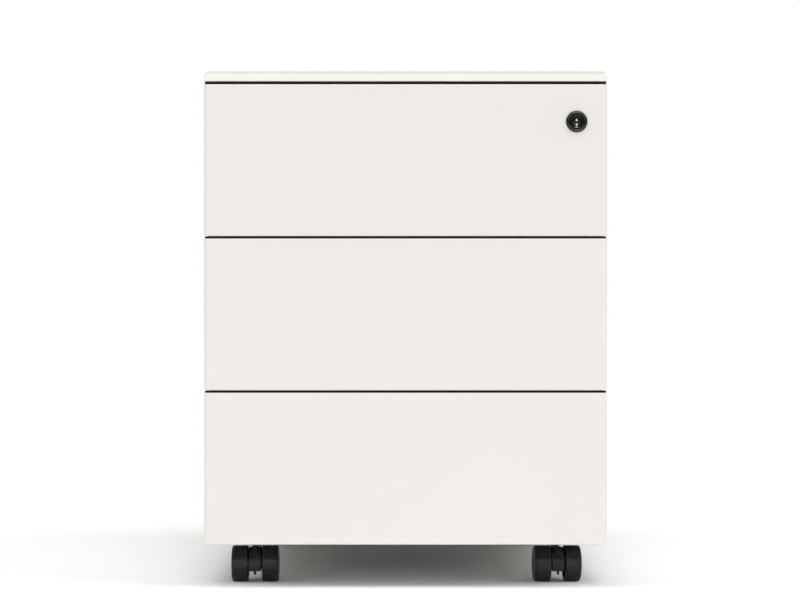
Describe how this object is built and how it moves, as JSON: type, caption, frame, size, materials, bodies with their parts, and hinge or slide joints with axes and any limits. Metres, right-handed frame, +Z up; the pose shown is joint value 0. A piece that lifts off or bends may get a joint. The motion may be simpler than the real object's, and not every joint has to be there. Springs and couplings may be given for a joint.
{
  "type": "mobile drawer pedestal",
  "caption": "Low white steel storage pedestal with flat handleless drawers on telescopic slides, a cam lock with a lifting lock bar, and twin-wheel swivel casters.",
  "frame": {"origin": "centre of the footprint, at floor level under the wheels", "axes": "+Z up; the drawer fronts face -Y and the drawers open toward -Y; +X is to the right of someone facing the fronts"},
  "size_m": [0.42, 0.5625, 0.538],
  "materials": {
    "white_paint": "satin",
    "zinc_steel": "satin",
    "black_lock": "satin",
    "black_nylon": "matte",
    "black_tread": "satin",
    "rubber": "matte"
  },
  "bodies": {
    "cabinet": {"shell": "white_paint", "back_panel": "white_paint", "bottom_panel": "white_paint", "top_rail": "white_paint", "caster_rail_front": "zinc_steel", "caster_rail_rear": "zinc_steel", "slide_outer_1": "zinc_steel", "slide_outer_2": "zinc_steel", "slide_outer_3": "zinc_steel", "slide_rivets": "zinc_steel", "drawer_stops": "rubber", "lock_bar_guides": "zinc_steel", "caster_plates": "zinc_steel", "caster_stems": "zinc_steel", "caster_screws": "zinc_steel"},
    "drawer_1": {"front_1": "white_paint", "damping_strip_1": "rubber", "carrier_1": "white_paint", "box_1": "white_paint", "slide_inner_1": "zinc_steel", "catch_1": "zinc_steel", "lock_housing": "black_lock", "lock_nut": "zinc_steel"},
    "drawer_2": {"front_2": "white_paint", "damping_strip_2": "rubber", "carrier_2": "white_paint", "box_2": "white_paint", "slide_inner_2": "zinc_steel", "catch_2": "zinc_steel"},
    "drawer_3": {"front_3": "white_paint", "damping_strip_3": "rubber", "carrier_3": "white_paint", "box_3": "white_paint", "slide_inner_3": "zinc_steel", "catch_3": "zinc_steel"},
    "slides_1": {"slide_middle_1": "zinc_steel"},
    "slides_2": {"slide_middle_2": "zinc_steel"},
    "slides_3": {"slide_middle_3": "zinc_steel"},
    "lock_plug": {"lock_plug": "black_lock", "lock_wafers": "zinc_steel", "lock_cam": "zinc_steel"},
    "lock_bar": {"lock_bar": "zinc_steel", "lock_hooks": "zinc_steel", "lock_lift_plate": "zinc_steel"},
    "caster_fl": {"caster_fl_housing": "black_nylon", "caster_fl_axle": "zinc_steel"},
    "wheel_fl_l": {"caster_fl_wheel_l": "black_tread"},
    "wheel_fl_r": {"caster_fl_wheel_r": "black_tread"},
    "caster_fr": {"caster_fr_housing": "black_nylon", "caster_fr_axle": "zinc_steel"},
    "wheel_fr_l": {"caster_fr_wheel_l": "black_tread"},
    "wheel_fr_r": {"caster_fr_wheel_r": "black_tread"},
    "caster_rl": {"caster_rl_housing": "black_nylon", "caster_rl_axle": "zinc_steel"},
    "wheel_rl_l": {"caster_rl_wheel_l": "black_tread"},
    "wheel_rl_r": {"caster_rl_wheel_r": "black_tread"},
    "caster_rr": {"caster_rr_housing": "black_nylon", "caster_rr_axle": "zinc_steel"},
    "wheel_rr_l": {"caster_rr_wheel_l": "black_tread"},
    "wheel_rr_r": {"caster_rr_wheel_r": "black_tread"}
  },
  "joints": [
    {"name": "drawer_1_slide", "type": "slide", "parent": "cabinet", "child": "drawer_1", "axis": [0, -1, 0], "range_m": [0, 0.4]},
    {"name": "drawer_2_slide", "type": "slide", "parent": "cabinet", "child": "drawer_2", "axis": [0, -1, 0], "range_m": [0, 0.4]},
    {"name": "drawer_3_slide", "type": "slide", "parent": "cabinet", "child": "drawer_3", "axis": [0, -1, 0], "range_m": [0, 0.4]},
    {"name": "slides_1_travel", "type": "slide", "parent": "cabinet", "child": "slides_1", "axis": [0, -1, 0], "range_m": [0, 0.2]},
    {"name": "slides_2_travel", "type": "slide", "parent": "cabinet", "child": "slides_2", "axis": [0, -1, 0], "range_m": [0, 0.2]},
    {"name": "slides_3_travel", "type": "slide", "parent": "cabinet", "child": "slides_3", "axis": [0, -1, 0], "range_m": [0, 0.2]},
    {"name": "lock_turn", "type": "hinge", "parent": "drawer_1", "child": "lock_plug", "pos_m": [0.178, -0.28, 0.4856], "axis": [0, -1, 0], "range_deg": [0, 90]},
    {"name": "lock_bar_lift", "type": "slide", "parent": "cabinet", "child": "lock_bar", "axis": [0, 0, 1], "range_m": [0, 0.017]},
    {"name": "caster_fl_swivel", "type": "hinge", "parent": "cabinet", "child": "caster_fl", "pos_m": [-0.16, -0.19, 0.03], "axis": [0, 0, 1], "continuous": true},
    {"name": "wheel_fl_l_spin", "type": "hinge", "parent": "caster_fl", "child": "wheel_fl_l", "pos_m": [-0.16, -0.21, 0.019], "axis": [1, 0, 0], "continuous": true},
    {"name": "wheel_fl_r_spin", "type": "hinge", "parent": "caster_fl", "child": "wheel_fl_r", "pos_m": [-0.16, -0.21, 0.019], "axis": [1, 0, 0], "continuous": true},
    {"name": "caster_fr_swivel", "type": "hinge", "parent": "cabinet", "child": "caster_fr", "pos_m": [0.16, -0.19, 0.03], "axis": [0, 0, 1], "continuous": true},
    {"name": "wheel_fr_l_spin", "type": "hinge", "parent": "caster_fr", "child": "wheel_fr_l", "pos_m": [0.1614, -0.20995, 0.019], "axis": [0.9976, 0.0698, 0], "continuous": true},
    {"name": "wheel_fr_r_spin", "type": "hinge", "parent": "caster_fr", "child": "wheel_fr_r", "pos_m": [0.1614, -0.20995, 0.019], "axis": [0.9976, 0.0698, 0], "continuous": true},
    {"name": "caster_rl_swivel", "type": "hinge", "parent": "cabinet", "child": "caster_rl", "pos_m": [-0.16, 0.222, 0.03], "axis": [0, 0, 1], "continuous": true},
    {"name": "wheel_rl_l_spin", "type": "hinge", "parent": "caster_rl", "child": "wheel_rl_l", "pos_m": [-0.16, 0.202, 0.019], "axis": [1, 0, 0], "continuous": true},
    {"name": "wheel_rl_r_spin", "type": "hinge", "parent": "caster_rl", "child": "wheel_rl_r", "pos_m": [-0.16, 0.202, 0.019], "axis": [1, 0, 0], "continuous": true},
    {"name": "caster_rr_swivel", "type": "hinge", "parent": "cabinet", "child": "caster_rr", "pos_m": [0.16, 0.222, 0.03], "axis": [0, 0, 1], "continuous": true},
    {"name": "wheel_rr_l_spin", "type": "hinge", "parent": "caster_rr", "child": "wheel_rr_l", "pos_m": [0.16, 0.202, 0.019], "axis": [1, 0, 0], "continuous": true},
    {"name": "wheel_rr_r_spin", "type": "hinge", "parent": "caster_rr", "child": "wheel_rr_r", "pos_m": [0.16, 0.202, 0.019], "axis": [1, 0, 0], "continuous": true}
  ],
  "couplings": [
    {"joint": "slides_1_travel", "follows": "drawer_1_slide", "ratio": 0.5},
    {"joint": "slides_2_travel", "follows": "drawer_2_slide", "ratio": 0.5},
    {"joint": "slides_3_travel", "follows": "drawer_3_slide", "ratio": 0.5},
    {"joint": "lock_turn", "follows": "lock_bar_lift", "rad_per_m": 92.39}
  ]
}
